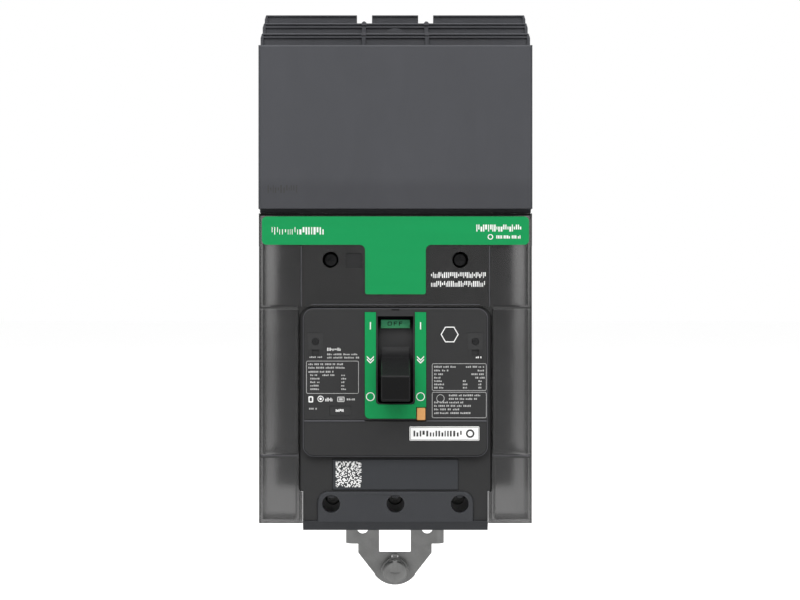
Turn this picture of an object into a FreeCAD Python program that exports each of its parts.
"""Three-pole molded case circuit breaker with plug-on jaws, a toggle and double-break contacts.

Frame: +X right, +Z up, the front faces -Y. The origin is the centre of the rear mounting face.
Every "depth" is measured forward from that face, so a depth d lies at y = -d. Units are millimetres.
A turn counts as positive from forward towards up, which is about the -X axis.
"""

import FreeCAD, Part
import os
from math import acos, atan2, cos, degrees, hypot, radians, sin

V = FreeCAD.Vector

# ---------------------------------------------------------------- driving dimensions
POLE_PITCH = 35.0
POLES = {"left": -POLE_PITCH, "centre": 0.0, "right": POLE_PITCH}
POLE_EDGES = (-POLE_PITCH / 2, POLE_PITCH / 2)

UNIT_HALF = 74.5  # half width of the whole unit
BASE_DEPTH = 15.0
BASE_HALF_HEIGHT = 108.0
BASE_HALF_BELOW = 69.0  # half width of the base below the jaw housing

BODY_HALF = 52.3  # half width of the breaker itself
BODY_BOTTOM, BODY_TOP = -125.6, 37.4
FOOT_HALF, FOOT_TOP = 50.4, -104.2  # the breaker is narrower than this below that height
BODY_SPLIT = 60.0  # depth where base and cover meet
SHOULDER = 96.0  # depth of the breaker's front shoulders
SEAT = 98.0  # depth of the raised seat that carries the face plates
FACE = 101.0  # depth of the face plates
FACE_HALF = 49.8
FACE_TOP, FACE_BOTTOM = -4.8, -84.6
FACE_SPLIT = -65.5  # height where accessory cover and trip unit cover meet
FACE_RADIUS = 5.5
WALL = 2.5
FIT = 0.15  # clearance between neighbouring moulded pieces
PILOT = 2.1  # radius of the holes for the case screws
SCREW_WELL = 4.4  # radius of the wells that their heads sit in

HOUSING_FRONT = 99.0
HOUSING_BOTTOM = 49.7
HOUSING_FRONT_TOP = 138.6
SLOT_FLOOR = BASE_HALF_HEIGHT
HOUSING_WALL = 3.0
NECK_FRONT = 94.0

BARRIERS = {"front": (78.2, 147.4), "middle": (57.4, 155.6), "rear": (36.6, 162.8)}  # front depth, top
BARRIER_THICK = 4.0
SLOT_DEPTHS = {"right": 86.9, "centre": 65.8, "left": 45.0}  # the bus slot that each pole's jaw serves
JAW_TIPS = {"right": 131.0, "centre": 139.0, "left": 147.0}

SHROUD_HALF = 74.3
SHROUD_BACK, SHROUD_FRONT, SHROUD_RAISED = 63.0, 97.0, 98.2
SHROUD_BOTTOM, SHROUD_TOP = -121.5, 47.1
SHROUD_WALL = 2.0
WING_INNER = 52.6  # inner edge of the side wings
WING_SEAMS = (-3.8, -84.6)  # heights of the ribs across the wings
OPENING_CORNER = 7.5  # radius at the top of the shroud's opening

TOGGLE_PIVOT = (59.0, -32.5)  # depth, height
TOGGLE_REST = -12.5  # direction of the handle when off, in degrees
TOGGLE_SWING = 25.0  # off to on
SHIELD_RADIUS = 38.0
SHIELD_HALF = 10.8
SHIELD_TOP, SHIELD_END = 43.0, -66.0  # span of the dust shield when off, in degrees
HANDLE_HALF = 7.8
HANDLE_TIP = 68.3
WINDOW_HALF = 9.7
WINDOW_BOTTOM, WINDOW_TOP = -56.2, -8.8

ROTOR = (36.0, -16.0)
ROTOR_RADIUS = 14.5
ROTOR_TURN = 40.0  # open to closed
ARM_OPEN = 50.0  # direction of the contact arm when off
ARM_LENGTH = 21.0
ROD_RADIUS = 1.5
ROD_ORBIT = 11.0
ROD_OPEN = 15.0  # direction of the driven rod when off

CRADLE_PIVOT = (70.0, -10.0)
LINK_ANCHOR = (84.0, -22.0)  # where the upper links hang on the cradle
UPPER_LINK = 20.0
PIN_RADIUS = 1.75

TRIP_AXIS = (64.0, -76.0)
BUTTON_X, BUTTON_Z = 13.9, -61.8
LUG_Z = -111.0
BRACKET_BACK, BRACKET_FRONT = 9.5, 12.0
SCREW_Z = -157.2


# ---------------------------------------------------------------- helpers
def slab(x0, x1, d0, d1, z0, z1):
    return Part.makeBox(x1 - x0, d1 - d0, z1 - z0, V(x0, -d1, z0))


def mirrored_slab(x0, x1, d0, d1, z0, z1):
    """The same box on both sides of the middle."""
    return [slab(x0, x1, d0, d1, z0, z1), slab(-x1, -x0, d0, d1, z0, z1)]


def extruded(points, along):
    wire = Part.makePolygon(points + [points[0]])
    return Part.Face(wire).extrude(along)


def plate_x(points, x0, x1):
    """A profile of (depth, height) points, extruded across."""
    return extruded([V(x0, -d, z) for d, z in points], V(x1 - x0, 0, 0))


def plate_y(points, d0, d1):
    """A profile of (x, height) points, extruded forward."""
    return extruded([V(x, -d0, z) for x, z in points], V(0, d0 - d1, 0))


def rod_x(centre, radius, x0, x1):
    return Part.makeCylinder(radius, x1 - x0, V(x0, -centre[0], centre[1]), V(1, 0, 0))


def rod_y(x, z, radius, d0, d1):
    return Part.makeCylinder(radius, d1 - d0, V(x, -d0, z), V(0, -1, 0))


def rod_z(x, depth, radius, z0, z1):
    return Part.makeCylinder(radius, z1 - z0, V(x, -depth, z0), V(0, 0, 1))


def fused(first, *others):
    return first.fuse(list(others)).removeSplitter()


def cut(first, *others):
    return first.cut(list(others))


def edges_where(shape, wanted):
    return [e for e in shape.Edges if wanted(e.BoundBox)]


def is_upright(box):
    return box.ZLength > 0.5 and box.XLength < 0.01 and box.YLength < 0.01


def is_forward(box):
    return box.YLength > 0.05 and box.XLength < 0.01 and box.ZLength < 0.01


def chamfered(shape, size, wanted):
    return shape.makeChamfer(size, edges_where(shape, wanted))


def rounded_slab(x0, x1, d0, d1, z0, z1, radius, corners=lambda box: True):
    """A box whose front-to-back edges are rounded, where corners says so."""
    box = slab(x0, x1, d0, d1, z0, z1)
    return box.makeFillet(radius, edges_where(box, lambda b: is_forward(b) and corners(b)))


def front_rim(depth):
    """Picks the edges that lie in the plane at a depth."""
    return lambda box: box.YLength < 0.01 and abs(box.YMin + depth) < 0.01


def turned(shape, centre, angle):
    moved = shape.copy()
    moved.rotate(V(0, -centre[0], centre[1]), V(-1, 0, 0), angle)
    return moved


def polar(centre, radius, angle):
    return (centre[0] + radius * cos(radians(angle)), centre[1] + radius * sin(radians(angle)))


def direction(start, end):
    return degrees(atan2(end[1] - start[1], end[0] - start[0]))


def arc_band(centre, inner, outer, low, high, x0, x1):
    """Part of a tube about an axis across the breaker, between two directions in degrees."""
    ring = rod_x(centre, outer, x0, x1).cut(rod_x(centre, inner, x0 - 1, x1 + 1))
    reach = 3 * outer
    steps = 6
    fan = [centre] + [polar(centre, reach, low + (high - low) * i / steps) for i in range(steps + 1)]
    return ring.common(plate_x(fan, x0, x1))


def link_bar(start, end, x0, x1, boss, width):
    """A flat bar with a round boss at each end."""
    along = direction(start, end)
    length = hypot(end[0] - start[0], end[1] - start[1])
    half = width / 2
    bar = turned(slab(x0, x1, start[0], start[0] + length, start[1] - half, start[1] + half), start, along)
    return fused(bar, rod_x(start, boss, x0, x1), rod_x(end, boss, x0, x1))


def spring(start, end, x, coil_radius, wire_radius, turns):
    """A coil spring between two (depth, height) points at one x."""
    length = hypot(end[0] - start[0], end[1] - start[1])
    helix = Part.makeHelix(length / turns, length, coil_radius)
    section = Part.Wire([Part.makeCircle(wire_radius, V(coil_radius, 0, 0), V(0, 1, 0))])
    coil = Part.Wire(helix).makePipeShell([section], True, True)
    coil.rotate(V(0, 0, 0), V(1, 0, 0), 90)
    coil.translate(V(x, -start[0], start[1]))
    return turned(coil, start, direction(start, end))


def screw(x, z, head_radius, head_back, head_front, shank_radius, shank_end, slot=0.9):
    """A pan-head screw along the depth, its head towards head_front, with a crossed recess."""
    outward = 1 if head_front > head_back else -1
    low, high = sorted((head_back, head_front))
    head = rod_y(x, z, head_radius, low, high)
    rim = front_rim(head_front)
    head = head.makeFillet(0.25 * abs(head_front - head_back), edges_where(head, rim))
    shank = rod_y(x, z, shank_radius, min(shank_end, head_back), max(shank_end, head_back))
    deep = head_front - outward * 0.55 * abs(head_front - head_back)
    low, high = sorted((deep, head_front + outward))
    reach = 0.62 * head_radius
    bars = [
        slab(x - reach, x + reach, low, high, z - slot / 2, z + slot / 2),
        slab(x - slot / 2, x + slot / 2, low, high, z - reach, z + reach),
    ]
    return cut(fused(head, shank), *bars)


parts = {}


def keep(name, *solids):
    parts[name] = [s for shape in solids for s in shape.Solids]


# ---------------------------------------------------------------- rear base and its screws
BODY_SCREWS = [(x, z) for x in (-42.0, 42.0) for z in (-80.0, 20.0)]
HOUSING_SCREWS = [(x, z) for x in (-65.0, 65.0) for z in (60.0, 98.0)]
BRACKET_SCREWS = [(-18.0, -101.5), (18.0, -101.5)]
BRACKET_HALF = 28.6
BRACKET_NOTCH_TOP = -95.0


def rear_base():
    tall, half_width = BASE_HALF_HEIGHT, BASE_HALF_BELOW
    lower = rounded_slab(-half_width, half_width, 0, BASE_DEPTH, -tall, tall, 3.0)
    upper = rounded_slab(-UNIT_HALF, UNIT_HALF, 0, BASE_DEPTH, SHROUD_TOP, tall, 3.0)
    plate = chamfered(fused(lower, upper), 0.8, front_rim(0))
    rib, rim, floor = 3.0, 3.5, 11.0
    columns, rows = 6, 8
    cell_x = 2 * (BASE_HALF_BELOW - rim) / columns
    cell_z = 2 * (BASE_HALF_HEIGHT - rim) / rows
    pockets = []
    for i in range(columns):
        for j in range(rows):
            x = -BASE_HALF_BELOW + rim + cell_x * i
            z = -BASE_HALF_HEIGHT + rim + cell_z * j
            half = rib / 2
            cell = (x + half, x + cell_x - half, -1, floor, z + half, z + cell_z - half)
            pockets.append(rounded_slab(*cell, 2.0))
    notch_floor = slab(-BRACKET_HALF - 4, BRACKET_HALF + 4, 0.8, BASE_DEPTH, -tall, BRACKET_NOTCH_TOP + 3)
    bosses = [rod_y(x, z, 7.0, 0.8, BASE_DEPTH) for x, z in BODY_SCREWS + HOUSING_SCREWS]
    bosses.append(rod_y(0, 0, 9.0, 0, BASE_DEPTH))
    plate = fused(cut(plate, *pockets), notch_floor, *bosses)
    notch = slab(-BRACKET_HALF - 0.4, BRACKET_HALF + 0.4, -1, BRACKET_FRONT, -120, BRACKET_NOTCH_TOP)
    holes = [rod_y(x, z, 2.3, -1, 20) for x, z in BODY_SCREWS + HOUSING_SCREWS]
    sinks = [rod_y(x, z, 4.6, -1, 6.0) for x, z in BODY_SCREWS + HOUSING_SCREWS]
    holes += [rod_y(x, z, PILOT, 0, 20) for x, z in BRACKET_SCREWS]
    plate = cut(plate, notch, *holes, *sinks)
    shelves = []
    for z in WING_SEAMS:
        span = (BODY_HALF + 0.9, half_width, BASE_DEPTH, SHROUD_BACK - FIT, z - 1.2, z + 1.2)
        shelves += mirrored_slab(*span)
    return fused(plate, *shelves)


def base_screws():
    body = [screw(x, z, 4.0, 6.0, 3.0, 2.1, 17.5) for x, z in BODY_SCREWS]
    housing = [screw(x, z, 4.0, 6.0, 3.0, 2.1, 30.0) for x, z in HOUSING_SCREWS]
    return body + housing


keep("rear_base", rear_base())
keep("base_screws", *base_screws())


# ---------------------------------------------------------------- jaw housing and phase barriers
STRAP_HALF = 9.0
JAW_HALF = 9.0
BARRIER_TABS = (50.0, 62.0)


def jaw_housing():
    box = slab(-UNIT_HALF, UNIT_HALF, BASE_DEPTH, HOUSING_FRONT, HOUSING_BOTTOM, SLOT_FLOOR)
    front = slab(-UNIT_HALF, UNIT_HALF, HOUSING_FRONT - 3.5, HOUSING_FRONT, HOUSING_BOTTOM, HOUSING_FRONT_TOP)
    body = fused(box, front)
    body = chamfered(body, 1.2, lambda b: is_upright(b) and abs(b.YMin + HOUSING_FRONT) < 0.01)
    body = chamfered(body, 0.8, lambda b: b.XLength > 100 and b.YMax < -98.9 and b.ZMin > 138)
    lip = slab(-UNIT_HALF + 0.6, UNIT_HALF - 0.6, BASE_DEPTH, NECK_FRONT, SHROUD_TOP + 0.5, HOUSING_BOTTOM)
    neck_half = BODY_HALF - 0.3
    neck = slab(-neck_half, neck_half, BASE_DEPTH, NECK_FRONT, BODY_TOP + 0.1, HOUSING_BOTTOM)
    body = fused(body, lip, neck)
    inside = slab(
        -UNIT_HALF + HOUSING_WALL, UNIT_HALF - HOUSING_WALL, BASE_DEPTH - 1, HOUSING_FRONT - 3.5,
        HOUSING_BOTTOM + HOUSING_WALL, SLOT_FLOOR - HOUSING_WALL,
    )
    neck_inside = slab(-neck_half + WALL, neck_half - WALL, BASE_DEPTH - 1, NECK_FRONT - WALL, 0, 60)
    jaw_holes = [
        slab(x - JAW_HALF - 1, x + JAW_HALF + 1, SLOT_DEPTHS[p] - 8.2, SLOT_DEPTHS[p] + 8.2, 100, 110)
        for p, x in POLES.items()
    ]
    tab_holes = []
    for depth, _ in BARRIERS.values():
        tab_holes += mirrored_slab(
            BARRIER_TABS[0] - FIT, BARRIER_TABS[1] + FIT, depth - BARRIER_THICK - FIT, depth + FIT, 100, 110
        )
    body = cut(body, inside, neck_inside, *jaw_holes, *tab_holes)
    posts = [rod_y(x, z, 5.0, BASE_DEPTH, 50.0) for x, z in HOUSING_SCREWS]
    fins = [slab(x - 1, x + 1, BASE_DEPTH + 0.2, HOUSING_FRONT - 3.5, 52, SLOT_FLOOR - 2) for x in POLE_EDGES]
    body = fused(body, *posts, *fins)
    pilots = [rod_y(x, z, PILOT, 10, 31) for x, z in HOUSING_SCREWS]
    ridges = [slab(-UNIT_HALF - 1, UNIT_HALF + 1, 20, 94, z, z + 1.0) for z in (56.0, 102.0)]
    outside = mirrored_slab(UNIT_HALF - 0.6, UNIT_HALF + 2, 20, 94, 0, 200)
    grooves = [r.common(o) for r in ridges for o in outside]
    return cut(body, *pilots, *grooves)


def phase_barrier(which):
    depth, top = BARRIERS[which]
    back = depth - BARRIER_THICK
    low, half = SLOT_FLOOR, UNIT_HALF
    shoulder, narrow = top - 2.6, half - 0.8
    outline = [(-half, low), (half, low), (half, shoulder), (narrow, top), (-narrow, top), (-half, shoulder)]
    plate = plate_y(outline, back, depth)
    plate = chamfered(plate, 0.5, lambda b: b.XLength > 50 and b.ZMin > top - 0.1)
    relief, rim, rib = 1.2, 1.7, 1.1
    groove = slab(-half + rim, half - rim, depth - relief, depth + 1, top - 1.7, top - 0.7)
    spans = [(-half + rim, -POLE_PITCH / 2 - rib), (-POLE_PITCH / 2 + rib, POLE_PITCH / 2 - rib)]
    spans.append((-spans[0][1], -spans[0][0]))
    pocket_top = top - 0.7 if which == "rear" else shoulder
    pockets = [slab(a, b, depth - relief, depth + 1, low + 3, pocket_top) for a, b in spans]
    plate = cut(plate, groove, *pockets)
    if which == "rear":
        plate = cut(plate, *[slab(x - 4.3, x + 4.3, 0, 60, top - 14, top + 1) for x in POLE_EDGES])
    thumbs = {"rear": (-POLE_PITCH, POLE_PITCH), "middle": (0.0,), "front": ()}[which]
    for x in thumbs:
        plate = fused(plate, rod_y(x, top - 10.9, 8.0, depth - relief, depth + 0.5))
    tabs = mirrored_slab(*BARRIER_TABS, back, depth, low - HOUSING_WALL - 1, low)
    return fused(plate, *tabs)


keep("jaw_housing", jaw_housing())
for which in BARRIERS:
    keep("phase_barrier_" + which, phase_barrier(which))


# ---------------------------------------------------------------- plug-on jaws and line straps
STRAP_THICK = 5.0
JAW_ROOT = -39.0  # jaw root and rivet heights below the jaw's tip
RIVET_DROP = 35.0
LINE_BAR = (26.7, 29.7)  # depths of the line conductor


def jaw_outline(tip, thick, skin):
    """Half of a jaw, as (offset from the slot's middle, height). Skin is how far outside the finger it is."""
    root = tip + JAW_ROOT
    inner = [(2.5, root), (2.5, root + 9), (4.2, root + 18), (4.2, tip - 14), (2.6, tip - 7), (4.6, tip)]
    inside = [(o + skin, z) for o, z in inner]
    outside = [(o + thick, z) for o, z in reversed(inside)]
    return inside + outside


def jaw_fingers(pole, thick, skin, trim):
    middle, tip, x = SLOT_DEPTHS[pole], JAW_TIPS[pole], POLES[pole]
    half = JAW_HALF - trim
    outline = jaw_outline(tip, thick, skin)
    hole = rod_y(x, tip - RIVET_DROP, 2.1, middle - 20, middle + 20)
    sides = [[(middle + side * o, z) for o, z in outline] for side in (-1, 1)]
    return [cut(plate_x(points, x - half, x + half), hole) for points in sides]


def rivet(pole):
    middle, x = SLOT_DEPTHS[pole], POLES[pole]
    z = JAW_TIPS[pole] - RIVET_DROP
    reach = 2.5 + 1.8 + 0.8
    heads = [rod_y(x, z, 3.6, middle + reach, middle + reach + 1.4)]
    heads.append(rod_y(x, z, 3.6, middle - reach - 1.4, middle - reach))
    return fused(rod_y(x, z, 2.0, middle - reach - 1, middle + reach + 1), *heads)


def line_strap(pole):
    """A copper bar from the breaker's line conductor, up and across to the jaw."""
    middle, x = SLOT_DEPTHS[pole], POLES[pole]
    back, front = LINE_BAR[1], LINE_BAR[1] + STRAP_THICK
    near, far = middle - STRAP_THICK / 2, middle + STRAP_THICK / 2
    turn, top = 62.0, JAW_TIPS[pole] - 29.0
    bar = [(back, 39.5), (front, 39.5), (front, turn), (far, turn), (far, top), (near, top)]
    bar += [(near, turn + STRAP_THICK), (back, turn + STRAP_THICK)]
    strap = plate_x(bar, x - STRAP_HALF + 1, x + STRAP_HALF - 1)
    return cut(strap, rod_y(x, JAW_TIPS[pole] - RIVET_DROP, 2.1, middle - 9, middle + 9))


for pole in POLES:
    keep("plug_on_jaw_" + pole, *jaw_fingers(pole, 1.8, 0.0, 0.0))
    keep("line_strap_" + pole, line_strap(pole))
keep(
    "jaw_spring_clips",
    *[s for pole in POLES for s in jaw_fingers(pole, 0.8, 1.8, 2.0)],
    *[rivet(pole) for pole in POLES],
)


# ---------------------------------------------------------------- translucent front shroud and green label
LABEL_BAND = (30.0, 45.4)
LABEL_HALF = 72.6
STEM_HALF, STEM_BOTTOM = 16.5, 3.1
COVER_SCREWS = [(-35.3, 21.9), (35.3, 21.9)]


def front_shroud():
    top_edge = FACE_TOP + 1.2
    outer = slab(-SHROUD_HALF, SHROUD_HALF, SHROUD_BACK, SHROUD_FRONT, SHROUD_BOTTOM, SHROUD_TOP)
    outer = chamfered(outer, 1.0, lambda b: is_upright(b) and abs(b.YMin + SHROUD_FRONT) < 0.01)
    raised = slab(-WING_INNER + 1.2, WING_INNER - 1.2, SHROUD_FRONT - 1, SHROUD_RAISED, top_edge, SHROUD_TOP)
    raised = chamfered(raised, 0.7, lambda b: is_upright(b) and abs(b.YMin + SHROUD_RAISED) < 0.01)
    band = slab(-SHROUD_HALF, SHROUD_HALF, SHROUD_FRONT - 1, SHROUD_RAISED, LABEL_BAND[0] - 0.6, SHROUD_TOP)
    band = chamfered(band, 0.7, lambda b: front_rim(SHROUD_RAISED)(b) and b.XLength < 1)
    pad = SHROUD_FRONT + 0.6
    pads = mirrored_slab(
        WING_INNER, SHROUD_HALF - 0.8, SHROUD_FRONT - 1, pad, WING_SEAMS[1] + 1.0, WING_SEAMS[0] - 1.0
    )
    pads = [chamfered(p, 0.4, front_rim(pad)) for p in pads]
    body = fused(outer, raised, band, *pads)
    cavity = slab(
        -SHROUD_HALF + SHROUD_WALL, SHROUD_HALF - SHROUD_WALL, 50, SHROUD_FRONT - SHROUD_WALL,
        SHROUD_BOTTOM + SHROUD_WALL, SHROUD_TOP - SHROUD_WALL,
    )
    over_breaker = slab(
        -WING_INNER, WING_INNER, 50, SHOULDER + FIT, top_edge - OPENING_CORNER, SHROUD_TOP - SHROUD_WALL
    )
    neck_gap = slab(-WING_INNER, WING_INNER, 50, NECK_FRONT + 0.6, 30, 60)
    opening = rounded_slab(
        -WING_INNER, WING_INNER, 50, 120, -200, top_edge, OPENING_CORNER, lambda b: b.ZMin > top_edge - 1
    )
    wells = [rod_y(x, z, SCREW_WELL, 90, 110) for x, z in COVER_SCREWS]
    window = slab(-27.0, -18.3, SHROUD_RAISED - 0.7, 110, 17.4, 25.6)
    body = cut(body, cavity, over_breaker, neck_gap, opening, *wells, window)
    inner_walls = mirrored_slab(
        WING_INNER, WING_INNER + 1.8, SHROUD_BACK, SHROUD_FRONT, SHROUD_BOTTOM, top_edge
    )
    foot = (SHROUD_FRONT - SHROUD_WALL, SHROUD_FRONT, SHROUD_BOTTOM, FOOT_TOP - FIT)
    flanges = mirrored_slab(FOOT_HALF + FIT, WING_INNER + 1, *foot)
    ribs = []
    for z in WING_SEAMS:
        span = (WING_INNER + 1, SHROUD_HALF - 1, SHROUD_BACK, SHROUD_FRONT - 1, z - 0.8, z + 0.8)
        ribs += mirrored_slab(*span)
    return fused(body, *inner_walls, *flanges, *ribs)


def green_label():
    back, front = SHROUD_RAISED, SHROUD_RAISED + 0.4
    low, high = LABEL_BAND
    band = rounded_slab(-LABEL_HALF, LABEL_HALF, back, front, low, high, 2.6)
    stem = rounded_slab(-STEM_HALF, STEM_HALF, back, front, STEM_BOTTOM, high - 3, 1.2, lambda b: b.ZMin < 10)
    label = fused(band, stem)
    inner = lambda b: is_forward(b) and abs(b.ZMin - low) < 0.01 and abs(abs(b.XMin) - STEM_HALF) < 0.01
    return label.makeFillet(3.0, edges_where(label, inner))


keep("front_shroud", front_shroud())
keep("green_label", green_label())


# ---------------------------------------------------------------- breaker base and cover
LUG_COVER_HALF, LUG_COVER_TOP = 42.4, FOOT_TOP
LIP_TOP = -120.2
LIP_HALF = FOOT_HALF
SIDE_RIBS = (24.0, -40.0, -98.0)  # heights of the short ribs on the breaker's sides
LUG_COVER_BACK = 91.0
LUG_COVER_CORNER = 6.0
ACCESS_RADIUS = 4.8
PANEL_HALF, PANEL_BOTTOM, PANEL_TOP = 34.2, -103.4, -86.6


def foot_notches():
    return mirrored_slab(FOOT_HALF, 60, 0, 120, -130, FOOT_TOP)


def foot_walls(back, front):
    """The side walls where the breaker narrows at its foot, and the steps above them."""
    walls = mirrored_slab(FOOT_HALF - WALL, FOOT_HALF, back, front, BODY_BOTTOM + 1, FOOT_TOP)
    return walls + mirrored_slab(FOOT_HALF - WALL, BODY_HALF - 1, back, front, FOOT_TOP, FOOT_TOP + WALL)


def breaker_base():
    tub = rounded_slab(-BODY_HALF, BODY_HALF, BASE_DEPTH, BODY_SPLIT, BODY_BOTTOM, BODY_TOP, 1.0)
    inside = slab(
        -BODY_HALF + WALL, BODY_HALF - WALL, BASE_DEPTH + 3, BODY_SPLIT + 1,
        BODY_BOTTOM + WALL, BODY_TOP - WALL,
    )
    line_holes = [slab(x - 9.5, x + 9.5, 24, 36, 30, 40) for x in POLES.values()]
    cable_holes = [rounded_slab(x - 12, x + 12, 22, 50, -130, -120, 0.5) for x in POLES.values()]
    screws = [rod_y(x, z, 2.15, 0, 20) for x, z in BODY_SCREWS]
    bracket_pins = [rod_y(x, z, PILOT, 14, 17) for x, z in BRACKET_SCREWS]
    tub = cut(tub, inside, *line_holes, *cable_holes, *screws, *bracket_pins)
    walls = []
    for x in POLE_EDGES:
        upper = slab(x - 1, x + 1, BASE_DEPTH + 2, BODY_SPLIT, -60.0, BODY_TOP - 1)
        walls.append(upper.cut(rod_x(ROTOR, ROTOR_RADIUS, x - 2, x + 2)))
        walls.append(slab(x - 1, x + 1, BASE_DEPTH + 2, BODY_SPLIT, BODY_BOTTOM + 1, -101.0))
    ribs = []
    for z in SIDE_RIBS:
        ribs += mirrored_slab(BODY_HALF - 1, BODY_HALF + 0.6, 20, 56, z - 1, z + 1)
    return cut(fused(tub, *walls, *ribs, *foot_walls(BASE_DEPTH + 1, BODY_SPLIT)), *foot_notches())


def breaker_cover():
    shell = rounded_slab(-BODY_HALF, BODY_HALF, BODY_SPLIT, SHOULDER, BODY_BOTTOM, BODY_TOP, 1.0)
    shell = chamfered(shell, 0.7, front_rim(SHOULDER))
    seat = rounded_slab(-FACE_HALF, FACE_HALF, SHOULDER - 1, SEAT, FACE_BOTTOM, FACE_TOP, FACE_RADIUS)
    front_inner = SHOULDER - WALL
    inside = slab(
        -BODY_HALF + WALL, BODY_HALF - WALL, BODY_SPLIT - 1, front_inner, BODY_BOTTOM + WALL, BODY_TOP - WALL
    )
    shell = cut(fused(shell, seat), inside)
    bosses = [rod_y(x, z, 6.4, BODY_SPLIT + 2, SHOULDER - 1) for x, z in COVER_SCREWS]
    guide = slab(10.0, 18.0, 87, SEAT - 0.5, -66.2, -57.4)
    guide = guide.cut(rod_x(TOGGLE_PIVOT, SHIELD_RADIUS + 0.6, 0, 30))
    shell = fused(shell, *bosses, guide)
    shield_gap = rod_x(TOGGLE_PIVOT, SHIELD_RADIUS + 0.6, -SHIELD_HALF - 0.4, SHIELD_HALF + 0.4)
    toggle_gap = slab(-WINDOW_HALF, WINDOW_HALF, 80, 110, WINDOW_BOTTOM - 2, WINDOW_TOP + 2)
    wells = [rod_y(x, z, SCREW_WELL, 88, 110) for x, z in COVER_SCREWS]
    wells += [rod_y(x, z, PILOT, 50, 110) for x, z in COVER_SCREWS]
    button_well = slab(11.3, 16.5, 94.0, 110, -65.8, -58.0)
    button_hole = rod_y(BUTTON_X, BUTTON_Z, 1.8, 80, 110).fuse(rod_y(BUTTON_X, BUTTON_Z, 2.5, 90.0, 96.0))
    face_screws = [rod_y(x, z, 1.25, 90, 110) for x, z in FACE_SCREWS]
    seat_half = PANEL_HALF + FIT
    panel_seat = slab(-seat_half, seat_half, SHOULDER - 0.8, 110, PANEL_BOTTOM - FIT, PANEL_TOP + FIT)
    lug_seat = rounded_slab(
        -LUG_COVER_HALF - FIT, LUG_COVER_HALF + FIT, LUG_COVER_BACK, 110, LIP_TOP - 1, LUG_COVER_TOP + FIT,
        LUG_COVER_CORNER + FIT, lambda b: b.ZMin > LUG_COVER_TOP,
    )
    lip_seat = slab(-60, 60, LUG_COVER_BACK, 110, BODY_BOTTOM - 1, LIP_TOP + FIT)
    shell = cut(shell, shield_gap, toggle_gap, *wells, button_well, button_hole, *face_screws, panel_seat)
    lug_floor = slab(
        -BODY_HALF + 1, BODY_HALF - 1, LUG_COVER_BACK - 3, LUG_COVER_BACK, BODY_BOTTOM + 1, FOOT_TOP + WALL
    )
    access = [rod_y(x, LUG_Z, ACCESS_RADIUS + 0.6, 80, 100) for x in POLES.values()]
    shell = fused(shell, cut(lug_floor, *access))
    ribs = []
    for z in SIDE_RIBS:
        ribs += mirrored_slab(BODY_HALF - 1, BODY_HALF + 0.25, 64, 90, z - 1, z + 1)
    shell = fused(shell, *ribs, *foot_walls(BODY_SPLIT, SHOULDER - 1))
    return cut(shell, *foot_notches(), lug_seat, lip_seat)


def lug_cover():
    front = 97.4
    main = slab(-LUG_COVER_HALF, LUG_COVER_HALF, LUG_COVER_BACK, front, LIP_TOP - 0.5, LUG_COVER_TOP)
    top_corners = lambda b: is_forward(b) and b.ZMin > LUG_COVER_TOP - 0.01
    main = main.makeFillet(LUG_COVER_CORNER, edges_where(main, top_corners))
    main = chamfered(main, 0.6, lambda b: front_rim(front)(b) and b.ZMax > LUG_COVER_TOP - 7)
    lip = [(LUG_COVER_BACK, LIP_TOP), (front, LIP_TOP), (front - 0.6, LIP_TOP - 0.8)]
    lip += [(LUG_COVER_BACK + 2.0, BODY_BOTTOM), (LUG_COVER_BACK, BODY_BOTTOM)]
    cover = fused(main, plate_x(lip, -LIP_HALF, LIP_HALF))
    holes = [rod_y(x, LUG_Z, ACCESS_RADIUS, 80, 110) for x in POLES.values()]
    cover = cut(cover, *holes)
    tongues = []
    for x in POLES.values():
        z = LUG_Z + ACCESS_RADIUS
        tongues.append(slab(x - 1.7, x + 1.7, LUG_COVER_BACK, front - 1.2, z - 1.5, z + 0.6))
    return fused(cover, *tongues)


def rating_panel():
    front = SHOULDER + 0.6
    panel = rounded_slab(-PANEL_HALF, PANEL_HALF, SHOULDER - 0.8, front, PANEL_BOTTOM, PANEL_TOP, 0.6)
    return chamfered(panel, 0.3, front_rim(front))


# ---------------------------------------------------------------- face plates
FACE_SCREWS = [(-43.4, -22.5), (43.4, -22.5)]
NAME_PLATE = (7.6, 45.5, -76.3, -68.6)
FRAME_HALF, FRAME_INNER = 16.6, 10.6
FRAME_BOTTOM, FRAME_TOP = -64.3, -6.6
FRAME_BACK, FRAME_FRONT = FACE - 0.6, FACE + 0.5


def accessory_cover():
    low = FACE_SPLIT + FIT
    top_corners = lambda b: b.ZMin > -10
    plate = rounded_slab(-FACE_HALF, FACE_HALF, SEAT, FACE, low, FACE_TOP, FACE_RADIUS, top_corners)
    plate = chamfered(plate, 0.5, front_rim(FACE))
    lower_corners = lambda b: b.ZMin < -50
    window = rounded_slab(
        -WINDOW_HALF, WINDOW_HALF, 90, 110, WINDOW_BOTTOM, WINDOW_TOP, 2.0, lower_corners
    )
    frame_seat = escutcheon_outline(FRAME_BACK, 110, FIT)
    button = slab(11.3, 16.6, 90, 110, -70, -58.0)
    notch = slab(-2.2, 2.2, FACE - 1.5, 110, FACE_TOP - 1.1, 0)
    screws = [rod_y(x, z, 2.0, FACE - 1.0, 110) for x, z in FACE_SCREWS]
    screws += [rod_y(x, z, 1.25, 90, 110) for x, z in FACE_SCREWS]
    flags = [slab(x - 2.0, x + 2.0, FACE - 1.2, 110, -30.2, -26.9) for x, _ in FACE_SCREWS]
    panels = [slab(x - 4.2, x + 4.2, FACE - 0.25, 110, -33.4, -17.6) for x, _ in FACE_SCREWS]
    pocket = slab(-35.8, -24.0, FACE - 0.5, 110, -62.6, -57.4)
    return cut(plate, window, frame_seat, button, notch, *screws, *flags, *panels, pocket)


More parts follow.
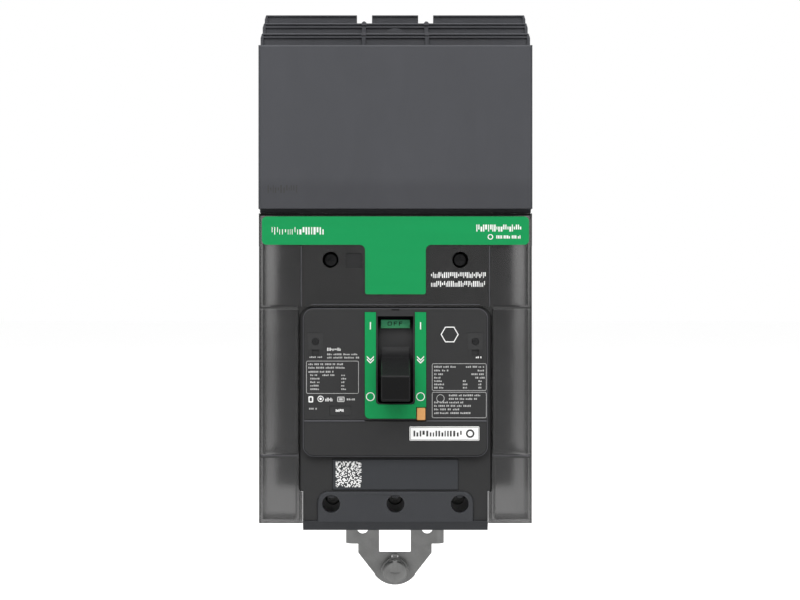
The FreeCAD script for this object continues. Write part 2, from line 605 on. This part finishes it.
def escutcheon_outline(back, front, grow):
    outer = rounded_slab(
        -FRAME_HALF - grow, FRAME_HALF + grow, back, front, FRAME_BOTTOM - grow, FRAME_TOP + grow, 2.6,
        lambda b: b.ZMin < -50,
    )
    inner = rounded_slab(
        -FRAME_INNER + grow, FRAME_INNER - grow, back - 1, front + 1, WINDOW_BOTTOM - 0.5 + grow, 5, 1.8,
        lambda b: b.ZMin < -50,
    )
    button = slab(11.2 + grow, 30, back - 1, front + 1, -80, -58.2 - grow)
    return cut(outer, inner, button)


def toggle_escutcheon():
    return escutcheon_outline(FRAME_BACK, FRAME_FRONT, 0.0)


def trip_unit_cover():
    plate = rounded_slab(
        -FACE_HALF, FACE_HALF, SEAT, FACE, FACE_BOTTOM, FACE_SPLIT - FIT, FACE_RADIUS, lambda b: b.ZMin < -80
    )
    plate = chamfered(plate, 0.5, front_rim(FACE))
    x0, x1, z0, z1 = NAME_PLATE
    return cut(plate, slab(x0 - FIT, x1 + FIT, FACE - 0.6, 110, z0 - FIT, z1 + FIT))


def name_plate():
    x0, x1, z0, z1 = NAME_PLATE
    plate = rounded_slab(x0, x1, FACE - 0.6, FACE + 0.25, z0, z1, 0.5)
    return chamfered(plate, 0.15, front_rim(FACE + 0.25))


keep("breaker_base", breaker_base())
keep("breaker_cover", breaker_cover())
keep("lug_cover", lug_cover())
keep("rating_panel", rating_panel())
keep("accessory_cover", accessory_cover())
keep("toggle_escutcheon", toggle_escutcheon())
keep("trip_unit_cover", trip_unit_cover())
keep("name_plate", name_plate())
keep("cover_screws", *[screw(x, z, 3.8, 88.0, 91.2, 2.05, 66.0, 1.1) for x, z in COVER_SCREWS])
keep(
    "accessory_cover_screws",
    *[screw(x, z, 1.85, FACE - 1.0, FACE - 0.1, 1.2, 95.0, 0.5) for x, z in FACE_SCREWS],
)


# ---------------------------------------------------------------- toggle handle
LEVER_RADIUS = (31.9, 34.3)
LEVER_SIDES = (12.6, 13.9)
SPRING_HOOK = 33.0  # radius at which the mechanism springs hang on the lever's crossbar


def dust_shield():
    shield = arc_band(
        TOGGLE_PIVOT, SHIELD_RADIUS - 1.5, SHIELD_RADIUS, SHIELD_END, SHIELD_TOP, -SHIELD_HALF, SHIELD_HALF
    )
    root = turned(
        slab(-HANDLE_HALF, HANDLE_HALF, TOGGLE_PIVOT[0], 99, TOGGLE_PIVOT[1] - 8, TOGGLE_PIVOT[1] + 8),
        TOGGLE_PIVOT, TOGGLE_REST,
    )
    return cut(shield, root)


def toggle_handle():
    """The grip, drawn straight ahead and then turned to its rest direction. Its root hugs the dust shield."""
    d, z = TOGGLE_PIVOT
    back, tip = d + 32.0, d + HANDLE_TIP
    wide, narrow = 11.0, 7.2
    heel = wide + (wide - narrow) * (SHIELD_RADIUS - 32.0) / (HANDLE_TIP - SHIELD_RADIUS)
    outline = [(back, z - heel), (tip, z - narrow), (tip, z + narrow), (back, z + heel)]
    grip = plate_x(outline, -HANDLE_HALF, HANDLE_HALF)
    for side, radius in ((-1, 2.6), (1, 1.2)):
        edge = lambda b: b.XLength > 5 and b.YMax < -tip + 0.5 and (b.ZMin - z) * side > 0
        grip = grip.makeFillet(radius, edges_where(grip, edge))
    grip = grip.makeFillet(0.9, edges_where(grip, lambda b: b.XLength < 0.01 and b.YLength > 5))
    radius, side_height = 8.0, 10.6
    reach = SHIELD_RADIUS + radius
    centre_depth = (reach**2 - (side_height + radius) ** 2) ** 0.5
    touch = (SHIELD_RADIUS * centre_depth / reach, SHIELD_RADIUS * (side_height + radius) / reach)
    for side in (-1, 1):
        heights = (8.0, touch[1] + 0.4, side_height, 8.0)
        depths = (back, d + touch[0] - 0.2, d + centre_depth, d + centre_depth)
        corners = [(u, z + side * h) for u, h in zip(depths, heights)]
        toe = plate_x(corners, -HANDLE_HALF + 0.4, HANDLE_HALF - 0.4)
        hollow = (d + centre_depth, z + side * (side_height + radius))
        grip = fused(grip, toe.cut(rod_x(hollow, radius, -20, 20)))
    stub_half, stub_back = HANDLE_HALF - FIT, d + LEVER_RADIUS[1] + 0.05
    stub = slab(-stub_half, stub_half, stub_back, d + SHIELD_RADIUS + 1, z - 7.8, z + 7.8)
    outside = rod_x(TOGGLE_PIVOT, SHIELD_RADIUS + 0.02, -30, 30)
    grip = fused(grip.cut(outside), stub)
    return turned(grip, TOGGLE_PIVOT, TOGGLE_REST)


def position_flags():
    """Coloured plates on the dust shield: one shows when off, the other when on."""
    inner, outer = SHIELD_RADIUS + 0.02, SHIELD_RADIUS + 0.42
    spans = [(26.6, 34.6), (-34.6 - TOGGLE_SWING, -26.6 - TOGGLE_SWING)]
    return [arc_band(TOGGLE_PIVOT, inner, outer, low, high, -8.0, 8.0) for low, high in spans]


def operating_lever():
    inner, outer = LEVER_RADIUS
    x_in, x_out = LEVER_SIDES
    d, z = TOGGLE_PIVOT
    bridge = arc_band(TOGGLE_PIVOT, inner, outer, -6.0, 6.0, -x_out, x_out)
    legs = mirrored_slab(x_in, x_out, d, d + inner + 1, z - 2, z + 2)
    bosses = [rod_x(TOGGLE_PIVOT, 3.6, x_in, x_out), rod_x(TOGGLE_PIVOT, 3.6, -x_out, -x_in)]
    anchor = rod_x((d + SPRING_HOOK, z), 0.6, -30, 30)
    lever = cut(fused(bridge, *legs, *bosses), rod_x(TOGGLE_PIVOT, 2.05, -30, 30), anchor)
    return turned(lever, TOGGLE_PIVOT, TOGGLE_REST)


keep("toggle_handle", toggle_handle())
keep("dust_shield", dust_shield())
keep("position_flags", *position_flags())
keep("operating_lever", operating_lever())


# ---------------------------------------------------------------- contact rotors
CARTRIDGE_HALF = 13.0
CARTRIDGE_DEPTHS = (18.0, 54.0)
CARTRIDGE_REACH = 42.0  # above and below the rotor's axis
ARM_HALF = 3.0
PAD = 1.5


def contact_rotor(x):
    drum = rod_x(ROTOR, ROTOR_RADIUS, x - 11, x + 11)
    slot = turned(
        slab(
            x - 3.2, x + 3.2, ROTOR[0] - 20, ROTOR[0] + 20,
            ROTOR[1] - ARM_HALF - 0.15, ROTOR[1] + ARM_HALF + 0.15,
        ),
        ROTOR, ARM_OPEN,
    )
    centres = [polar(ROTOR, ROD_ORBIT, ROD_OPEN + half) for half in (0, 180)]
    rods = [rod_x(centre, ROD_RADIUS + 0.02, x - 20, x + 20) for centre in centres]
    return cut(drum, slot, *rods)


def moving_contact(x):
    d, z = ROTOR
    arm = slab(x - 3, x + 3, d - ARM_LENGTH, d + ARM_LENGTH, z - ARM_HALF, z + ARM_HALF)
    arm = chamfered(arm, 1.6, lambda b: b.XLength > 5)
    pads = [
        slab(x - 3, x + 3, d + 15.5, d + 20, z + ARM_HALF, z + ARM_HALF + PAD),
        slab(x - 3, x + 3, d - 20, d - 15.5, z - ARM_HALF - PAD, z - ARM_HALF),
    ]
    return [turned(s, ROTOR, ARM_OPEN) for s in [arm] + pads]


def drive_rods():
    reach = POLE_PITCH + 12.5
    return [rod_x(polar(ROTOR, ROD_ORBIT, ROD_OPEN + half), ROD_RADIUS, -reach, reach) for half in (0, 180)]


def half_turn(shape):
    """The same piece on the other side of the rotor's axis."""
    return turned(shape, ROTOR, 180.0)


def line_fixed_contact(x):
    back, front = LINE_BAR
    bar = slab(x - 8, x + 8, back, front, ROTOR[1] + 15, 46.0)
    pad_z = ROTOR[1] + 15.5
    return [bar, slab(x - 4, x + 4, front, front + PAD, pad_z, pad_z + 5)]


LOAD_BAR = (2 * ROTOR[0] - LINE_BAR[1], 2 * ROTOR[0] - LINE_BAR[0])


def load_fixed_contact(x):
    back, front = LOAD_BAR
    bar = slab(x - 8, x + 8, back, front, -60.0, ROTOR[1] - 15)
    pad_z = ROTOR[1] - 15.5
    return [bar, slab(x - 4, x + 4, back - PAD, back, pad_z - 5, pad_z)]


def arc_chute(x):
    """Splitter plates between two fibre cheeks, above the rotor."""
    d, z = ROTOR
    sweep = rod_x(ROTOR, ARM_LENGTH + 1.6, x - 20, x + 20)
    plates = [slab(x - 10.6, x + 10.6, 33.0 + 2.7 * i, 34.0 + 2.7 * i, z + 12, z + 39.5) for i in range(7)]
    cheeks = [slab(x + a, x + b, 32.2, 52.2, z + 23, z + 40) for a, b in ((-11.3, -10.6), (10.6, 11.3))]
    return [s for shape in plates + cheeks for s in shape.cut(sweep).Solids]


def pole_cartridge(x):
    low, high = CARTRIDGE_DEPTHS
    z0, z1 = ROTOR[1] - CARTRIDGE_REACH, ROTOR[1] + CARTRIDGE_REACH
    box = rounded_slab(x - CARTRIDGE_HALF, x + CARTRIDGE_HALF, low, high, z0, z1, 1.0)
    inside = slab(x - 11.5, x + 11.5, low + 1.5, high - 1.5, z0 + 1.5, z1 - 1.5)
    sides = rod_x(ROTOR, 13.4, x - 20, x + 20)
    line_way = slab(x - 8.2, x + 8.2, LINE_BAR[0] - 0.2, LINE_BAR[1] + 0.2, z1 - 3, z1 + 3)
    shell = cut(box, inside, sides, line_way, half_turn(line_way))
    return [shell.common(slab(x - 30, x, 0, 90, -90, 60)), shell.common(slab(x, x + 30, 0, 90, -90, 60))]


for pole, x in POLES.items():
    keep("contact_rotor_" + pole, contact_rotor(x))
    keep("moving_contact_" + pole, *moving_contact(x))
    keep("pole_cartridge_" + pole, *pole_cartridge(x))
keep("drive_rods", *drive_rods())
keep("line_fixed_contacts", *[s for x in POLES.values() for s in line_fixed_contact(x)])
keep("load_fixed_contacts", *[s for x in POLES.values() for s in load_fixed_contact(x)])
chutes = [s for x in POLES.values() for s in arc_chute(x)]
keep("arc_chutes", *chutes, *[half_turn(s) for s in chutes])


# ---------------------------------------------------------------- operating mechanism
ROD_AT_OFF = polar(ROTOR, ROD_ORBIT, ROD_OPEN)
ROD_AT_ON = polar(ROTOR, ROD_ORBIT, ROD_OPEN + ROTOR_TURN)
SPAN_AT_OFF = hypot(ROD_AT_OFF[0] - LINK_ANCHOR[0], ROD_AT_OFF[1] - LINK_ANCHOR[1])
SPAN_AT_ON = hypot(ROD_AT_ON[0] - LINK_ANCHOR[0], ROD_AT_ON[1] - LINK_ANCHOR[1])
LOWER_LINK = SPAN_AT_ON - UPPER_LINK + 0.1
FOLD = degrees(acos((UPPER_LINK**2 + SPAN_AT_OFF**2 - LOWER_LINK**2) / (2 * UPPER_LINK * SPAN_AT_OFF)))
UPPER_AT_OFF = direction(LINK_ANCHOR, ROD_AT_OFF) % 360 + FOLD
UPPER_AT_ON = direction(LINK_ANCHOR, ROD_AT_ON) % 360
KNEE = polar(LINK_ANCHOR, UPPER_LINK, UPPER_AT_OFF)
LOWER_TURN = UPPER_AT_ON - direction(KNEE, ROD_AT_OFF) % 360
KNEE_HOLE = 4.0
SIDE_PLATES = (10.75, 12.25)
CRADLE_TIP = (71.5, -60.5)


def mechanism_frame():
    x_in, x_out = SIDE_PLATES
    outline = [(54.3, -56), (54.3, -4), (78, -4), (86, -14), (86, -44), (74, -56)]
    plates = [plate_x(outline, x_in, x_out), plate_x(outline, -x_out, -x_in)]
    feet = mirrored_slab(2.0, x_in + 0.5, 54.3, 55.8, -56, -46)
    feet += mirrored_slab(2.0, x_in + 0.5, 54.3, 55.8, -10, -4)
    knee_way = slab(-20, 20, KNEE[0] - 4.5, KNEE[0] + 3.5, KNEE[1] - 3.8, KNEE[1] + 18)
    frame = cut(plates[0], knee_way).fuse([cut(plates[1], knee_way)] + feet)
    frame = cut(frame, rod_x(TOGGLE_PIVOT, 2.0, -30, 30), rod_x(CRADLE_PIVOT, PIN_RADIUS, -30, 30))
    pin = rod_x(TOGGLE_PIVOT, 2.0, -LEVER_SIDES[1], LEVER_SIDES[1])
    return frame.Solids + [pin]


def cradle():
    """Two cheeks that carry the upper links; the tip is held by the trip bar's latch."""
    q, c, t = CRADLE_PIVOT, LINK_ANCHOR, CRADLE_TIP
    outline = [(q[0] - 4, q[1] - 2), (q[0], q[1] + 4), (q[0] + 6, q[1] + 3), (c[0] + 3.4, c[1] + 3)]
    outline += [(c[0] + 3.2, c[1] - 4), (t[0] + 8, t[1] + 14), (t[0] + 3.2, t[1]), (t[0] - 1.0, t[1])]
    outline += [(t[0] + 1.5, t[1] + 14), (c[0] - 4.5, c[1] - 4), (c[0] - 5, c[1] + 3)]
    cheeks = [plate_x(outline, 8.9, 10.3), plate_x(outline, -10.3, -8.9)]
    bridge = slab(-9.5, 9.5, t[0] - 0.9, t[0] + 3.0, t[1] + 0.1, t[1] + 3)
    studs = [rod_x(c, PIN_RADIUS, 6.9, 10.3), rod_x(c, PIN_RADIUS, -10.3, -6.9)]
    axle = rod_x(q, PIN_RADIUS - 0.04, -12.2, 12.2)
    return fused(cheeks[0], cheeks[1], bridge, *studs, axle)


def upper_links():
    bars = [link_bar(LINK_ANCHOR, KNEE, x0, x0 + 1.4, 3.4, 5.0) for x0 in (7.2, -8.6)]
    pin = rod_x(KNEE, PIN_RADIUS, -15.7, 15.7)
    return cut(fused(bars[0], bars[1], pin), rod_x(LINK_ANCHOR, PIN_RADIUS + 0.04, -20, 20))


def lower_links():
    links = []
    for x0 in (14.1, -15.5):
        bar = link_bar(KNEE, ROD_AT_OFF, x0, x0 + 1.4, 3.0, 4.6)
        bar = fused(bar, rod_x(KNEE, KNEE_HOLE + 1.6, x0, x0 + 1.4))
        links.append(cut(bar, rod_x(KNEE, KNEE_HOLE, -20, 20), rod_x(ROD_AT_OFF, ROD_RADIUS + 0.04, -20, 20)))
    return links


def mechanism_springs():
    """A pair of springs stretched from the knee pin to the lever's crossbar."""
    hook = polar(TOGGLE_PIVOT, SPRING_HOOK, TOGGLE_REST)
    along = direction(KNEE, hook)
    start, end = polar(KNEE, PIN_RADIUS + 0.7, along), polar(hook, 2.0, along + 180)
    return [spring(start, end, x, 2.0, 0.45, 14) for x in (-3.4, 3.4)]


keep("mechanism_frame", *mechanism_frame())
keep("cradle", cradle())
keep("upper_links", upper_links())
keep("lower_links", *lower_links())
keep("mechanism_springs", *mechanism_springs())


# ---------------------------------------------------------------- trip unit
TRIP_RADIUS = 3.5
STEM_END = 69.8


def trip_bar():
    d, z = TRIP_AXIS
    bar = rod_x(TRIP_AXIS, TRIP_RADIUS, -46.5, 46.5)
    journals = rod_x(TRIP_AXIS, 2.0, -48.9, 48.9)
    button_finger = slab(12.4, 15.4, d + 2.4, d + 5.4, z, BUTTON_Z + 2.3)
    tip = CRADLE_TIP[1]
    latch = [(d - 2, z), (d + 2, z), (d + 4.4, tip - 3), (d + 4.4, tip + 1), (d + 1.5, tip + 1)]
    latch_finger = plate_x(latch, -3.0, 3.0)
    fingers = [slab(x - 2.5, x + 2.5, d - 1.5, d + 1.5, z - 14, z) for x in POLES.values()]
    tips = [rod_y(x, z - 12, 1.5, 52.0, d) for x in POLES.values()]
    return fused(bar, journals, button_finger, latch_finger, *fingers, *tips)


def trip_unit_housing():
    half, low, high = 49.5, -100.0, -62.5
    back = slab(-half, half, 18.0, 20.0, low, high)
    floor = slab(-half, half, 18.0, 88.0, low, low + 2)
    sides = mirrored_slab(half - 2.4, half, 18.0, 88.0, low, high)
    shelf = slab(-half, half, 18.0, 40.0, high - 2, high)
    partitions = [slab(x - 1, x + 1, 18.0, 56.0, low, high) for x in POLE_EDGES]
    body = fused(back, floor, shelf, *sides, *partitions)
    ways = [slab(x - 9.5, x + 9.5, 20.5, 24.5, low - 1, low + 3) for x in POLES.values()]
    return cut(body, rod_x(TRIP_AXIS, 2.05, -60, 60), *ways)


def load_strap(x):
    """From the load contact down through the trip unit and back to the lug's seat."""
    back, front = LOAD_BAR
    bend, foot = -95.5, -121.5
    path = [(back, -60.1), (front, -60.1), (front, bend - 1.4), (23.5, bend - 1.4), (23.5, foot)]
    path += [(21.0, foot), (21.0, bend + 1.4), (back, bend + 1.4)]
    return plate_x(path, x - 8, x + 8)


def bimetal_strip(x):
    front = LOAD_BAR[1]
    strip = slab(x - 4, x + 4, front + 3, front + 4.2, -91, -64.5)
    foot = slab(x - 4, x + 4, front, front + 3, -68.5, -64.5)
    return fused(strip, foot)


def magnet_yoke(x):
    back, front = LOAD_BAR
    web = slab(x - 11, x + 11, back - 3.2, back - 0.2, -86, -72)
    legs = [slab(x + a, x + b, back - 1, front + 7, -86, -72) for a, b in ((-11, -9), (9, 11))]
    return fused(web, *legs)


def load_lug(x):
    block = rounded_slab(x - 9.5, x + 9.5, 23.6, 50.0, LUG_Z - 10, LUG_Z + 10, 0.8)
    return cut(block, rod_z(x, 35.0, 6.75, LUG_Z - 15, LUG_Z + 15), rod_y(x, LUG_Z, 4.1, 35, 60))


def lug_screw(x):
    body = rod_y(x, LUG_Z, 4.05, 43.5, 58.0)
    body = chamfered(body, 0.6, lambda b: b.XLength > 5)
    hexagon = [(x + 2.4 * cos(radians(60 * i)), LUG_Z + 2.4 * sin(radians(60 * i))) for i in range(6)]
    return cut(body, plate_y(hexagon, 53.0, 60.0))


def trip_button():
    head = rounded_slab(11.6, 16.2, 98.6, FACE + 1.2, -65.1, -58.5, 0.5)
    head = chamfered(head, 0.4, front_rim(FACE + 1.2))
    return fused(head, rod_y(BUTTON_X, BUTTON_Z, 1.6, STEM_END, 99.0))


keep("trip_bar", trip_bar())
keep("trip_unit_housing", trip_unit_housing())
keep("load_straps", *[load_strap(x) for x in POLES.values()])
keep("bimetal_strips", *[bimetal_strip(x) for x in POLES.values()])
keep("magnet_yokes", *[magnet_yoke(x) for x in POLES.values()])
keep("load_lugs", *[load_lug(x) for x in POLES.values()])
keep("lug_screws", *[lug_screw(x) for x in POLES.values()])
keep("trip_button", trip_button())
keep("trip_button_spring", spring((90.35, BUTTON_Z), (98.25, BUTTON_Z), BUTTON_X, 2.05, 0.32, 5))


# ---------------------------------------------------------------- mounting bracket and captive screw
SCREW_THREAD = 3.15
SCREW_NECK = 2.5
THREAD_BACK, THREAD_FRONT = 0.8, 8.0  # depths between which the screw is threaded
SCREW_PITCH = 1.27
SCREW_FEED = 3 * SCREW_PITCH  # how far the screw goes in, over three turns
WASHER = 1.6
EAR_BOTTOM = -142.0


def mounting_bracket():
    half, plate_half = BRACKET_HALF, 21.4
    top, step, taper, tail = BRACKET_NOTCH_TOP - 0.3, EAR_BOTTOM, -147.2, -159.6
    back, front = BRACKET_BACK, BRACKET_FRONT
    bend = 5.0
    outline = [(-half + bend, top), (half - bend, top), (half - bend, step)]
    outline += [(plate_half, step), (plate_half, taper)]
    outline += [(11.7, tail), (-11.7, tail), (-plate_half, taper), (-plate_half, step), (-half + bend, step)]
    plate = plate_y(outline, back, front)
    nose = rod_y(0, SCREW_Z + 6.2, 14.9, back, front).common(slab(-11.7, 11.7, back, front, -170, tail))
    ears = []
    for side in (-1, 1):
        outer = rod_z(side * (half - bend), front - bend, bend, step, top)
        inner = rod_z(side * (half - bend), front - bend, bend - 2.5, step - 1, top + 1)
        low, high = sorted((side * (half - bend), side * half))
        corner = outer.common(slab(low, high, front - bend, front, step, top)).cut(inner)
        low, high = sorted((side * (half - 2.5), side * half))
        ears += [corner, slab(low, high, 0.6, front - bend, step, top)]
    bracket = fused(plate, nose, *ears)
    window = slab(-9.2, 9.2, 0, 20, -146.9, -118.0)
    rounds = [rod_y(x, -132.8, 3.4, 0, 20) for x in (-18.8, 18.8)]
    screws = [rod_y(x, z, 2.2, 0, 20) for x, z in BRACKET_SCREWS]
    key = slab(-1.8, 1.8, 0, 20, SCREW_Z, SCREW_Z + 8.6)
    return cut(bracket, window, *rounds, *screws, key, rod_y(0, SCREW_Z, 3.6, 0, 20))


def screw_retainer():
    """The washer and the push-on ring that keep the screw captive, in front of the bracket and behind it."""
    back = BRACKET_FRONT + SCREW_FEED + 0.1
    front = back + WASHER
    washer = chamfered(rod_y(0, SCREW_Z, 8.0, back, front), 0.3, front_rim(front))
    key = slab(-1.6, 1.6, back, front, SCREW_Z + 7, SCREW_Z + 9.4)
    ring = rod_y(0, SCREW_Z, 5.2, BRACKET_BACK - 1.3, BRACKET_BACK - 0.3)
    bore = rod_y(0, SCREW_Z, SCREW_NECK + 0.05, 0, 30)
    return [cut(fused(washer, key), bore), cut(ring, bore)]


def mounting_screw():
    """A slotted round-head screw, shown drawn back from the panel."""
    back = BRACKET_FRONT + SCREW_FEED + 0.1 + WASHER + 0.1
    front = back + 7.0
    head = rod_y(0, SCREW_Z, 6.9, back, front)
    head = head.makeFillet(0.8, edges_where(head, front_rim(front)))
    thread = rod_y(0, SCREW_Z, SCREW_THREAD, THREAD_BACK, THREAD_FRONT)
    thread = chamfered(thread, 0.8, front_rim(THREAD_BACK))
    neck = rod_y(0, SCREW_Z, SCREW_NECK, THREAD_FRONT - 1, back)
    slot = slab(-1.0, 1.0, front - 1.8, front + 1, SCREW_Z - 8, SCREW_Z + 8)
    cross = slab(-3.2, 3.2, front - 1.8, front + 1, SCREW_Z - 0.8, SCREW_Z + 0.8)
    return cut(fused(head, neck, thread), slot, cross)


keep("mounting_bracket", mounting_bracket())
keep("screw_retainer", *screw_retainer())
keep("mounting_screw", mounting_screw())
keep(
    "bracket_screws",
    *[screw(x, z, 3.6, BRACKET_BACK, BRACKET_BACK - 2.6, 2.05, 16.5) for x, z in BRACKET_SCREWS],
)


# ---------------------------------------------------------------- export
def main():
    os.makedirs("parts", exist_ok=True)
    for name, solids in parts.items():
        Part.makeCompound(solids).exportStep(f"parts/{name}.step")
    swing = TOGGLE_SWING
    print("nodes", len(parts))
    print("rotor ratio", ROTOR_TURN / swing)
    print("upper link ratio", (UPPER_AT_ON - UPPER_AT_OFF) / swing, "anchor", LINK_ANCHOR)
    print("lower link ratio", (LOWER_TURN - ROTOR_TURN) / swing, "rod", ROD_AT_OFF)
    print("knee", KNEE, "lower link length", LOWER_LINK)
    print("spring hook", polar(TOGGLE_PIVOT, SPRING_HOOK, TOGGLE_REST))


main()
